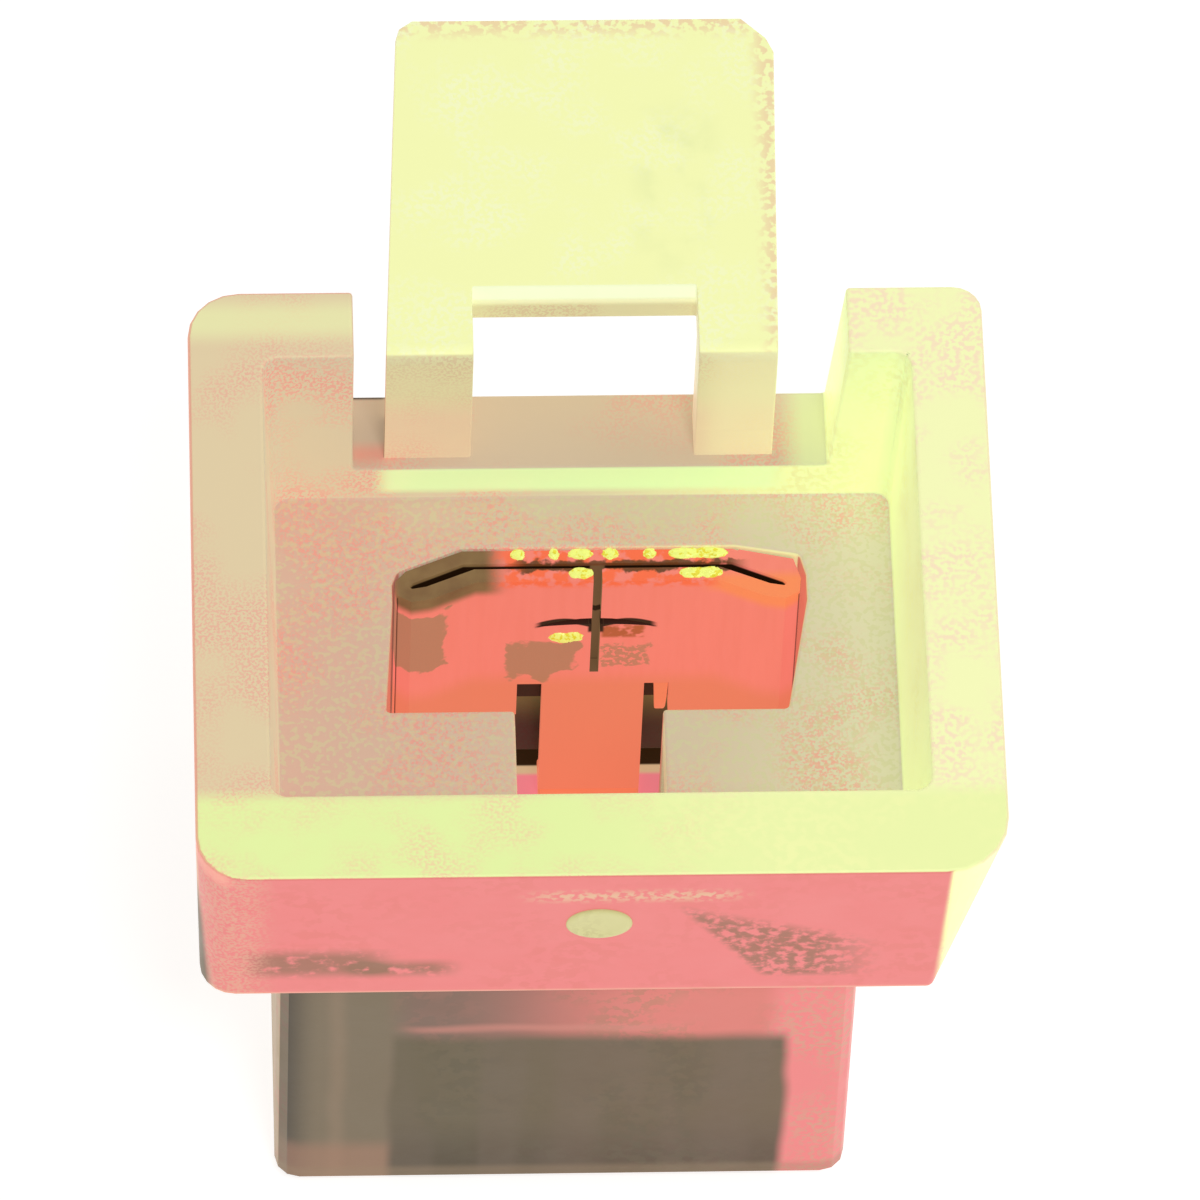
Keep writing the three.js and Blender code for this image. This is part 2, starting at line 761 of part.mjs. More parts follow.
/** Fine wire from the top of a post to the side of the winding. */
function coilLead(x) {
  const wireR = 0.07;
  const route = new THREE.CatmullRomCurve3([
    new THREE.Vector3(x, POST_Y, POST_TOP_Z + GAP),
    new THREE.Vector3(x, POST_Y, POST_TOP_Z + 0.45),
    new THREE.Vector3(x, COIL_Y - WINDING_R - 0.24, COIL_Z - 0.35),
    new THREE.Vector3(x, COIL_Y - WINDING_R - 0.14, COIL_Z + 0.2),
  ]);
  const section = new THREE.Shape();
  section.absarc(0, 0, wireR, 0, 2 * Math.PI);
  return new THREE.ExtrudeGeometry(section, {
    extrudePath: route,
    steps: 12,
    curveSegments: 8,
    bevelEnabled: false,
  });
}

/** Axial resistor laid between the two coil posts. */
function suppressionResistor() {
  const bodyR = 0.4;
  const leadR = 0.1;
  const middle = (COIL_POSTS.a + COIL_POSTS.b) / 2;
  return turnedX(
    [
      [COIL_POSTS.a, 0],
      [COIL_POSTS.a, leadR],
      [middle - 1.2, leadR],
      [middle - 1.15, bodyR],
      [middle - 0.85, bodyR],
      [middle - 0.75, bodyR - 0.06],
      [middle + 0.75, bodyR - 0.06],
      [middle + 0.85, bodyR],
      [middle + 1.15, bodyR],
      [middle + 1.2, leadR],
      [COIL_POSTS.b, leadR],
      [COIL_POSTS.b, 0],
    ],
    POST_Y + POST_HALF_Y + leadR + GAP + 0.12,
    1.5,
    24,
  );
}

// ---- Assembly -----------------------------------------------------------------------
add("front_shroud", geometryOf(frontShroud()), nylon);
add("latch_lever", geometryOf(latchLever()), latchNylon);
add("rear_case", geometryOf(rearCase()), caseNylon);
add("rear_base", geometryOf(rearBase()), caseNylon);
add("blade_receptacle", geometryOf(bladeReceptacle()), copperAlloy);
add("common_strap", geometryOf(commonStrap()), copperAlloy);

add("coil_bobbin", coilBobbin(), darkPlastic);
add("coil_winding", coilWinding(), wireCopper);
add("iron_core", ironCore(), steel);
add("yoke", geometryOf(yokeFrame()), steel);
add("return_leaf", geometryOf(returnLeaf()), copperAlloy);
add("leaf_rivet", leafRivet(), steel);

add("armature", geometryOf(armaturePlate()), steel);
add("contact_spring", geometryOf(contactSpring()), copperAlloy);
add("spring_rivet", springRivet(), steel);
add("moving_contact", movingContact(), silver);

add("terminal_no", geometryOf(contactStrip(NO_X)), copperAlloy);
add("contact_no", contactButton(NO_X - 0.3, 1, 0.25, 0.25), silver);
add("terminal_nc", geometryOf(contactStrip(NC_X - STRIP)), copperAlloy);
add("contact_nc", contactButton(NC_X + 0.2, -1, 0.15, 0.25), silver);

for (const [side, x] of Object.entries(COIL_POSTS)) {
  add(`coil_terminal_${side}`, coilPost(x), copperAlloy);
  add(`coil_lead_${side}`, coilLead(x), wireCopper);
}
add("suppression_resistor", suppressionResistor(), darkPlastic);

const relay = new THREE.Group();
relay.add(...pieces);

export default relay;
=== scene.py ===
"""Looks of the plug-in relay: skins over the CAD nodes, materials, light and camera."""
import math
import random

import bmesh
import bpy
from mathutils import Matrix, Vector


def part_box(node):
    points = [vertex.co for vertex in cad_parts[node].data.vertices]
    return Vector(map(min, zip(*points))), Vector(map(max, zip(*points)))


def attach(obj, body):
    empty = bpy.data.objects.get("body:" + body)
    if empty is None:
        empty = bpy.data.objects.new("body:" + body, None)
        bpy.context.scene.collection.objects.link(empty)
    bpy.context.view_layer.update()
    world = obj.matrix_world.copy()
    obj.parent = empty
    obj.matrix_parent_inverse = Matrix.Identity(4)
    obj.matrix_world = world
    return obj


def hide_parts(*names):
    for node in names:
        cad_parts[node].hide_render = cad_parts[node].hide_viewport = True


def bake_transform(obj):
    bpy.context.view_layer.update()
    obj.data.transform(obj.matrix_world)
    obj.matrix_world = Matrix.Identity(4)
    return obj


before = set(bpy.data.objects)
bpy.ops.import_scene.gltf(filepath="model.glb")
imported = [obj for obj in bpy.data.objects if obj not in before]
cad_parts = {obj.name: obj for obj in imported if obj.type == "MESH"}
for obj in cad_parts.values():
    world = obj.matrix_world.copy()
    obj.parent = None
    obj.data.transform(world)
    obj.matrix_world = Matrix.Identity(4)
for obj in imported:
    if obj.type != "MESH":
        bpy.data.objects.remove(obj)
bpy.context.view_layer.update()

MM = 0.001
random.seed(7)

# Heights in millimetres, from the frame
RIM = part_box("front_shroud")[1].z / MM
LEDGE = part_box("rear_case")[1].z / MM  # rear face of the flange
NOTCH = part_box("latch_lever")[0].z / MM  # floor of the notch
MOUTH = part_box("blade_receptacle")[1].z / MM
SEAM_X = sum(corner.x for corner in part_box("blade_receptacle")) / 2 / MM
SLIT_Z = 7.42  # foot of the cross slit in the receptacle's flap
SLIT_HALF_X = 1.3
FLAP_BACK_Y = 3.3
NYLON_GLOW = 0.36  # painted glow: emission strength that brightens the milky plastic under any light

# ---- Colours, as sRGB hex -------------------------------------------------------------
YELLOW_GREEN = "F1FFB0"
CREAM = "FBFFDE"
PEACH = "F2CDA6"
PINK = "F68888"
ROSE = "E98F7E"
DARK = "1C1408"


def linear(code):
    """Linear RGBA of an sRGB hex colour."""
    values = [int(code[i:i + 2], 16) / 255 for i in (0, 2, 4)]
    curve = [v / 12.92 if v <= 0.04045 else ((v + 0.055) / 1.055) ** 2.4 for v in values]
    return (*curve, 1.0)


# ---- Shader graphs --------------------------------------------------------------------
class Graph:
    """A principled material whose inputs are worked out from place and facing."""

    def __init__(self, name, roughness, metallic=0.0):
        self.material = bpy.data.materials.new(name)
        self.material.use_nodes = True
        self.nodes = self.material.node_tree.nodes
        self.links = self.material.node_tree.links
        self.nodes.clear()
        output = self.nodes.new("ShaderNodeOutputMaterial")
        self.shader = self.nodes.new("ShaderNodeBsdfPrincipled")
        self.links.new(self.shader.outputs["BSDF"], output.inputs["Surface"])
        self.shader.inputs["Roughness"].default_value = roughness
        self.shader.inputs["Metallic"].default_value = metallic
        self.place = self.nodes.new("ShaderNodeTexCoord").outputs["Object"]
        self.x, self.y, self.z = self.split(self.place)
        facing = self.nodes.new("ShaderNodeNewGeometry").outputs["Normal"]
        self.facing_x, self.facing_y, self.facing_z = self.split(facing)

    def split(self, vector):
        node = self.nodes.new("ShaderNodeSeparateXYZ")
        self.links.new(vector, node.inputs[0])
        return node.outputs[:3]

    def feed(self, socket, value):
        if isinstance(value, bpy.types.NodeSocket):
            self.links.new(value, socket)
        else:
            socket.default_value = value

    def math(self, operation, a, b=0.0):
        node = self.nodes.new("ShaderNodeMath")
        node.operation = operation
        self.feed(node.inputs[0], a)
        self.feed(node.inputs[1], b)
        return node.outputs[0]

    def times(self, *values):
        product = values[0]
        for value in values[1:]:
            product = self.math("MULTIPLY", product, value)
        return product

    def ramp(self, value, start, stop):
        """0 before start, 1 after stop, smooth between; start may be above stop."""
        node = self.nodes.new("ShaderNodeMapRange")
        node.interpolation_type = "SMOOTHSTEP"
        self.feed(node.inputs["Value"], value)
        low, high = min(start, stop), max(start, stop)
        node.inputs["From Min"].default_value = low
        node.inputs["From Max"].default_value = high
        node.inputs["To Min"].default_value = 0.0 if start < stop else 1.0
        node.inputs["To Max"].default_value = 1.0 if start < stop else 0.0
        return node.outputs["Result"]

    def span(self, value, low, high, soft):
        """1 between low and high, in millimetres, with soft ends."""
        rise = self.ramp(value, (low - soft) * MM, (low + soft) * MM)
        fall = self.ramp(value, (high + soft) * MM, (high - soft) * MM)
        return self.times(rise, fall)

    def mix(self, amount, a, b):
        node = self.nodes.new("ShaderNodeMix")
        node.data_type = "RGBA"
        self.feed(node.inputs[0], amount)
        for socket, value in ((node.inputs[6], a), (node.inputs[7], b)):
            self.feed(socket, linear(value) if isinstance(value, str) else value)
        return node.outputs[2]

    def noise(self, grain_mm, detail=2.0, stretch=None):
        """Noise whose grains are about grain_mm across."""
        node = self.nodes.new("ShaderNodeTexNoise")
        node.inputs["Scale"].default_value = 1.0 / (grain_mm * MM)
        node.inputs["Detail"].default_value = detail
        vector = self.place
        if stretch:
            mapping = self.nodes.new("ShaderNodeMapping")
            mapping.inputs["Scale"].default_value = stretch
            self.links.new(vector, mapping.inputs["Vector"])
            vector = mapping.outputs[0]
        self.links.new(vector, node.inputs["Vector"])
        return node.outputs["Fac"]

    def colour(self, value, glow=0.0, shade=0.0):
        """Surface colour; glow is how strongly it is given off, shade darkens the surface itself."""
        surface = self.mix(shade, value, "000000") if shade else value
        for name, given in (("Base Color", surface), ("Emission Color", value)):
            self.feed(self.shader.inputs[name], linear(given) if isinstance(given, str) else given)
        self.shader.inputs["Emission Strength"].default_value = glow

    def bump(self, height, strength, depth_mm):
        node = self.nodes.new("ShaderNodeBump")
        node.inputs["Strength"].default_value = strength
        node.inputs["Distance"].default_value = depth_mm * MM
        self.links.new(height, node.inputs["Height"])
        self.links.new(node.outputs[0], self.shader.inputs["Normal"])

    def mottled(self, base, grain_colour, grain_mm=0.06, amount=0.8, patch_mm=2.2):
        """Base colour with fine grains that gather in soft patches."""
        grains = self.ramp(self.noise(grain_mm, 2.0), 0.46, 0.56)
        patches = self.ramp(self.noise(patch_mm, 2.0), 0.38, 0.66)
        return self.mix(self.times(grains, patches, amount), base, grain_colour)


def satin(graph):
    """Surface finish of moulded nylon: a little light goes in, and the skin is finely uneven."""
    graph.shader.inputs["IOR"].default_value = 1.5
    graph.shader.inputs["Specular IOR Level"].default_value = 0.35
    unevenness = graph.noise(0.5, 3.0)
    graph.bump(unevenness, 0.25, 0.03)
    rough = graph.nodes.new("ShaderNodeMapRange")
    graph.links.new(graph.noise(0.9, 2.0), rough.inputs["Value"])
    rough.inputs["To Min"].default_value = 0.32
    rough.inputs["To Max"].default_value = 0.52
    graph.links.new(rough.outputs[0], graph.shader.inputs["Roughness"])


def shroud_material():
    """The flange and recess, with painted light and shade: tan and pink on the shaded left, lit yellow-green on
    the right.
    """
    graph = Graph("nylon_shroud", 0.42)
    x, y, z = graph.x, graph.y, graph.z
    up = graph.ramp(graph.facing_z, 0.35, 0.85)
    near = graph.ramp(graph.facing_y, -0.35, -0.85)

    # walls: painted shade in tan and pink on the left, painted light in yellow-green on the right
    wall_left = graph.mottled("D6CCB0", PINK, amount=0.6)
    wall_right = graph.mottled("EEFFBE", "DCD8A2", 0.12, 0.5)
    walls = graph.mix(graph.ramp(x, -1.0 * MM, 5.4 * MM), wall_left, wall_right)
    # painted shade on the outer left side, darker lower down and toward the near side
    outer_left = graph.mix(graph.ramp(z, (RIM - 1.0) * MM, (RIM - 3.6) * MM), "DDAA8E", "A88C6C")
    shade = graph.times(
        graph.ramp(y, -3.6 * MM, -5.6 * MM), graph.ramp(z, (RIM - 1.2) * MM, (RIM - 3.0) * MM)
    )
    outer_left = graph.mix(graph.times(shade, 0.85), outer_left, "564A32")
    left_side = graph.times(graph.ramp(graph.facing_x, -0.5, -0.85), graph.ramp(x, -7.0 * MM, -7.6 * MM))
    walls = graph.mix(left_side, walls, outer_left)

    # near outside face: painted shade in pink, with a pale band above the mould mark and brown grains low down
    outside = graph.mottled("DA7370", "D26C64", 0.3, 0.5)
    band = graph.times(graph.span(x, -1.3, 2.6, 0.6), graph.span(z, RIM - 1.15, RIM - 0.75, 0.2))
    grains = graph.ramp(graph.noise(0.16, 3.0), 0.42, 0.56)
    outside = graph.mix(graph.times(band, grains, 0.75), outside, "D4B48C")
    left_patch = graph.times(
        graph.span(x, -6.9, -4.4, 0.5), graph.span(z, LEDGE + 0.95, LEDGE + 2.0, 0.3)
    )
    left_tail = graph.times(
        graph.span(x, -4.8, -3.0, 0.4), graph.span(z, LEDGE + 0.95, LEDGE + 1.5, 0.25)
    )
    from_left = graph.math("SUBTRACT", x, graph.times(graph.math("SUBTRACT", 12.0 * MM, z), 0.55))
    from_top = graph.math("ADD", z, graph.times(x, 0.4))
    right_patch = graph.times(
        graph.span(from_left, 1.7, 9.0, 0.15), graph.ramp(x, 5.8 * MM, 4.2 * MM),
        graph.ramp(from_top, 13.1 * MM, 12.5 * MM), graph.ramp(z, (LEDGE + 0.6) * MM, (LEDGE + 0.9) * MM),
    )
    blotches = graph.ramp(graph.noise(0.3, 4.0), 0.26, 0.5)
    low_brown_patches = graph.times(graph.math("ADD", left_patch, left_tail), blotches)
    specks = graph.times(right_patch, graph.ramp(graph.noise(0.2, 4.0), 0.36, 0.58))
    outside = graph.mix(graph.times(graph.math("ADD", low_brown_patches, specks), 0.85), outside, "8A5C42")
    left_end = graph.times(
        graph.ramp(x, -6.3 * MM, -7.2 * MM), graph.ramp(graph.noise(0.07, 3.0), 0.4, 0.6)
    )
    outside = graph.mix(graph.times(left_end, 0.55), outside, "CFA684")
    # painted light: the right-hand corner faces are lit yellow-green
    corner = graph.times(graph.ramp(x, 6.7 * MM, 6.95 * MM), graph.ramp(graph.facing_x, 0.03, 0.14))
    outside = graph.mix(corner, outside, graph.mottled(YELLOW_GREEN, "F3DDB0", 0.12, 0.6))
    # painted highlight: a pale line along the foot of the near face
    foot_highlight = graph.ramp(z, (LEDGE + 0.22) * MM, (LEDGE + 0.08) * MM)
    outside = graph.mix(graph.times(foot_highlight, 0.7), outside, "E8B494")
    sides = graph.mix(graph.ramp(y, -6.0 * MM, -6.3 * MM), walls, outside)

    # painted highlight: a bright strip with tapering ends on the far wall of the recess under the notch
    taper = graph.math("ADD", z, graph.times(graph.math("ABSOLUTE", x), 0.06))
    strip = graph.times(
        graph.span(x, -4.1, 4.0, 0.25), graph.ramp(taper, (NOTCH + 0.25) * MM, (NOTCH + 0.1) * MM),
        graph.ramp(z, (NOTCH - 0.9) * MM, (NOTCH - 0.65) * MM),
        graph.ramp(y, 4.5 * MM, 4.9 * MM), near,
    )
    sides = graph.mix(graph.times(strip, 0.95), sides, graph.mottled("DEFFC0", "EEFFC6", 0.06, 0.6))

    # faces that look up, in painted light and shade: the rim is tan on the shaded left and bright on the lit
    # right
    rim_left = graph.mottled("E6D2A9", "EFB49C", 0.06, 0.9)
    # painted highlight: a yellow-green stripe across the left rim
    rim_left = graph.mix(graph.times(graph.span(y, 5.9, 6.7, 0.3), 0.7), rim_left, "F0F4B4")
    rim_right = graph.mottled("FBFFBE", "FFE6C4", 0.12, 0.9, 1.2)
    rim = graph.mix(graph.ramp(x, -3.0 * MM, 3.0 * MM), rim_left, rim_right)
    near_left = graph.mottled("EAFAA9", "F8D6A8", 0.06, 0.9, 1.4)
    near_right = graph.mottled("F2FCB0", "FCFFB4", 0.2, 0.7)
    rim_near = graph.mix(graph.ramp(x, -1.5 * MM, 4.0 * MM), near_left, near_right)
    rim = graph.mix(graph.ramp(y, -4.8 * MM, -5.3 * MM), rim, rim_near)
    floor_base = graph.mix(graph.ramp(x, -6.4 * MM, 0.5 * MM), "CCAB9B", "CAB9A2")
    floor_base = graph.mix(graph.ramp(x, 1.5 * MM, 6.4 * MM), floor_base, "D2CDB4")
    floor = graph.mottled(floor_base, "E48E86", 0.06, 0.65)
    green_grains = graph.times(graph.ramp(graph.noise(0.12, 1.0), 0.5, 0.6), 0.5)
    floor = graph.mix(green_grains, floor, "C6C49A")
    ledge = graph.mottled("C6B39C", "D89086", 0.06, 0.6)
    ledge = graph.mix(graph.ramp(x, 3.9 * MM, 4.6 * MM), ledge, "D0D6A8")
    # painted shade: rose in the left corner of the notch
    pink_end = graph.times(graph.span(x, -4.8, -3.8, 0.3), graph.span(y, 5.3, 5.7, 0.2), 0.6)
    ledge = graph.mix(pink_end, ledge, ROSE)
    dark_line = graph.times(graph.ramp(x, -3.9 * MM, -4.1 * MM), graph.ramp(y, 6.8 * MM, 6.9 * MM))
    ledge = graph.mix(dark_line, ledge, DARK)
    flat = graph.mix(graph.ramp(z, (NOTCH - 0.3) * MM, (NOTCH - 0.6) * MM), ledge, floor)
    flat = graph.mix(graph.ramp(z, (RIM - 2.8) * MM, (RIM - 1.0) * MM), flat, rim)
    # outer edges of the rim: a painted shaded pink line on the left and a painted peach highlight on the right
    edge_left = graph.times(graph.ramp(graph.facing_x, -0.15, -0.45), graph.ramp(x, -7.0 * MM, -7.6 * MM))
    edge_far = graph.times(
        graph.ramp(graph.facing_y, 0.15, 0.45), graph.ramp(x, -3.0 * MM, -4.5 * MM),
        graph.ramp(y, 6.4 * MM, 6.6 * MM),
    )
    edge_right = graph.times(graph.ramp(graph.facing_x, 0.15, 0.45), graph.ramp(x, 7.0 * MM, 7.6 * MM))
    body = graph.mix(up, sides, flat)
    upper = graph.ramp(z, (RIM - 0.6) * MM, (RIM - 0.3) * MM)
    edges = graph.math("MAXIMUM", edge_left, edge_far)
    body = graph.mix(graph.times(edges, upper, 0.7), body, "EE9C88")
    body = graph.mix(graph.times(edge_right, upper, 0.6), body, "F4DDB8")
    # the far wall of the terminal chamber is in shade
    chamber = graph.times(
        graph.span(x, -4.2, 4.2, 0.05), graph.span(y, 3.0, 4.0, 0.05),
        graph.ramp(z, (LEDGE + 0.3) * MM, (LEDGE - 0.3) * MM), near,
    )
    # painted shade: the side walls of the terminal slot are pink
    slot_sides = graph.times(
        graph.ramp(graph.math("ABSOLUTE", graph.facing_x), 0.5, 0.8), graph.span(x, -4.6, 4.9, 0.05),
        graph.span(y, -0.4, 4.0, 0.1), graph.ramp(z, (NOTCH - 1.0) * MM, (NOTCH - 1.1) * MM),
    )
    body = graph.mix(slot_sides, body, "CC8070")
    shadow = graph.mix(graph.ramp(z, 4.3 * MM, 2.3 * MM), "7A7440", "1E1404")
    graph.colour(graph.mix(graph.times(chamber, 0.97), body, shadow), NYLON_GLOW)
    satin(graph)
    return graph.material


def latch_material():
    """The latch in painted light and shade: a pale lit plate on arms that are tanner toward their feet."""
    graph = Graph("nylon_latch", 0.42)
    x, y, z = graph.x, graph.y, graph.z
    up = graph.ramp(graph.facing_z, 0.3, 0.8)
    top = graph.mottled("FBFFB8", CREAM, 0.12, 0.4, 1.4)
    # a darker green cloudy patch on the plate
    clouds = graph.ramp(graph.noise(0.9, 5.0), 0.4, 0.7)
    green_clouding = graph.times(graph.span(x, 1.3, 2.6, 0.5), graph.span(y, 7.8, 11.2, 0.8))
    top = graph.mix(graph.times(clouds, green_clouding, 0.35), top, "C8D79A")
    edges = graph.math("MAXIMUM", graph.ramp(x, 3.45 * MM, 3.9 * MM), graph.ramp(y, 13.1 * MM, 13.6 * MM))
    top = graph.mix(graph.times(edges, graph.ramp(graph.noise(0.16, 2.0), 0.46, 0.56), 0.7), top, PEACH)
    # painted shade: the arms are tanner than the plate, more so toward their feet, with painted light on the
    # right
    arms = graph.mottled("DCDAB0", "D2BC9A", 0.06, 0.6)
    low = graph.mottled("E2CEB0", "EAAA98", 0.06, 0.6)
    arms = graph.mix(graph.ramp(z, (NOTCH + 2.4) * MM, (NOTCH + 1.2) * MM), arms, low)
    arms = graph.mix(graph.times(graph.ramp(x, 2.0 * MM, 3.0 * MM), 0.6), arms, "F0F0C4")
    # painted shade on the lever's left side face, darker lower down
    left_side = graph.mix(graph.ramp(z, (RIM - 1.2) * MM, (RIM - 2.8) * MM), "E0A48C", "8A7658")
    outer_left = graph.times(graph.ramp(graph.facing_x, -0.5, -0.9), graph.ramp(x, -3.0 * MM, -3.5 * MM))
    arms = graph.mix(outer_left, arms, left_side)
    # painted highlight: the bevel along the window is paler than the plate
    bevel = graph.times(
        graph.span(y, 6.3, 7.2, 0.05), graph.ramp(z, (RIM - 0.4) * MM, (RIM - 0.2) * MM),
        graph.ramp(graph.facing_y, -0.1, -0.3),
    )
    body = graph.mix(up, arms, top)
    graph.colour(graph.mix(bevel, body, "F8FFD2"), NYLON_GLOW)
    satin(graph)
    return graph.material


def case_material():
    """The rear case, with the dark works showing on its near and far sides."""
    graph = Graph("nylon_case", 0.45)
    wobble = graph.noise(2.4, 1.0)
    shift = graph.math("MULTIPLY", graph.math("SUBTRACT", wobble, 0.5), 0.35 * MM)
    x = graph.math("ADD", graph.x, shift)
    z = graph.math("ADD", graph.z, shift)
    near = graph.ramp(graph.facing_y, -0.5, -0.9)
    far = graph.ramp(graph.facing_y, 0.5, 0.9)
    # left to right: a dark edge in painted shade, a brown strip, then pink in painted shade past the works
    corner = graph.times(graph.ramp(graph.x, -5.5 * MM, -6.4 * MM), graph.ramp(graph.facing_y, -0.2, -0.5))
    left = graph.mix(corner, "6E6049", "3A3224")
    left = graph.mix(graph.times(graph.span(x, -5.35, -5.05, 0.15), 0.5), left, "846E56")
    left = graph.mix(graph.times(graph.ramp(z, 2.1 * MM, 1.4 * MM), near, 0.5), left, "9C7058")
    side = graph.times(graph.ramp(graph.facing_x, -0.6, -0.9), graph.ramp(graph.x, -4.0 * MM, -5.0 * MM))
    left = graph.mix(side, left, graph.mottled("A28A68", "B07C66", 0.2, 0.7))
    band_left = graph.mottled("72594A", "8A6152", 0.3, 0.7)
    band_right = graph.mottled("CD7268", "AE745C", 0.2, 0.7)
    band = graph.mix(graph.ramp(x, -3.4 * MM, 1.6 * MM), band_left, band_right)
    streak = graph.times(graph.span(z, 6.12, 6.36, 0.12), graph.span(x, -3.8, 1.5, 0.8))
    band = graph.mix(graph.times(streak, 0.6), band, "BE7A6C")
    right = graph.mottled("DD7977", "C4947A", 0.12, 0.7)
    base = graph.mix(graph.ramp(x, -4.3 * MM, -3.5 * MM), left, band)
    base = graph.mix(graph.ramp(x, 3.3 * MM, 3.9 * MM), base, right)
    # the works show through the near and far sides
    frame_edge = graph.times(graph.span(x, -4.1, 3.95, 0.14), graph.span(z, -0.5, 5.9, 0.28))
    tone = graph.mix(graph.ramp(z, 3.1 * MM, 0.9 * MM), "5B5036", "473C25")
    dark = graph.mottled(tone, "4F482F", 0.25, 0.6)
    uprights = graph.ramp(graph.noise(0.9, 1.0, (1.0, 1.0, 0.1)), 0.4, 0.65)
    dark = graph.mix(graph.times(uprights, 0.35), dark, "645545")
    base = graph.mix(graph.times(frame_edge, near, 0.96), base, dark)
    base = graph.mix(graph.times(frame_edge, far, 0.5), base, dark)
    foot = graph.ramp(graph.z, 1 * MM, 0.7 * MM)
    graph.colour(graph.mix(graph.times(foot, 0.4), base, "8B7458"), NYLON_GLOW)
    satin(graph)
    return graph.material


def base_material():
    """Under the slot the base shows a shadow, a pale step and then pink toward the near side."""
    graph = Graph("nylon_base", 0.5)
    plain = graph.mottled("C9AE88", "E8A090", 0.06, 0.5)
    lit = graph.mix(graph.ramp(graph.y, 3.5 * MM, 3.62 * MM), "E8828C", "D0B48C")
    lit = graph.mix(graph.ramp(graph.y, 3.74 * MM, 3.8 * MM), lit, "2A1808")
    window = graph.times(
        graph.span(graph.x, -1.8, 2.0, 0.05), graph.ramp(graph.y, 1.2 * MM, 1.3 * MM),
        graph.ramp(graph.facing_z, 0.4, 0.8),
    )
    # painted glow: the base gives off light in its own colours
    graph.colour(graph.mix(window, plain, lit), 0.75, 0.5)
    satin(graph)
    return graph.material


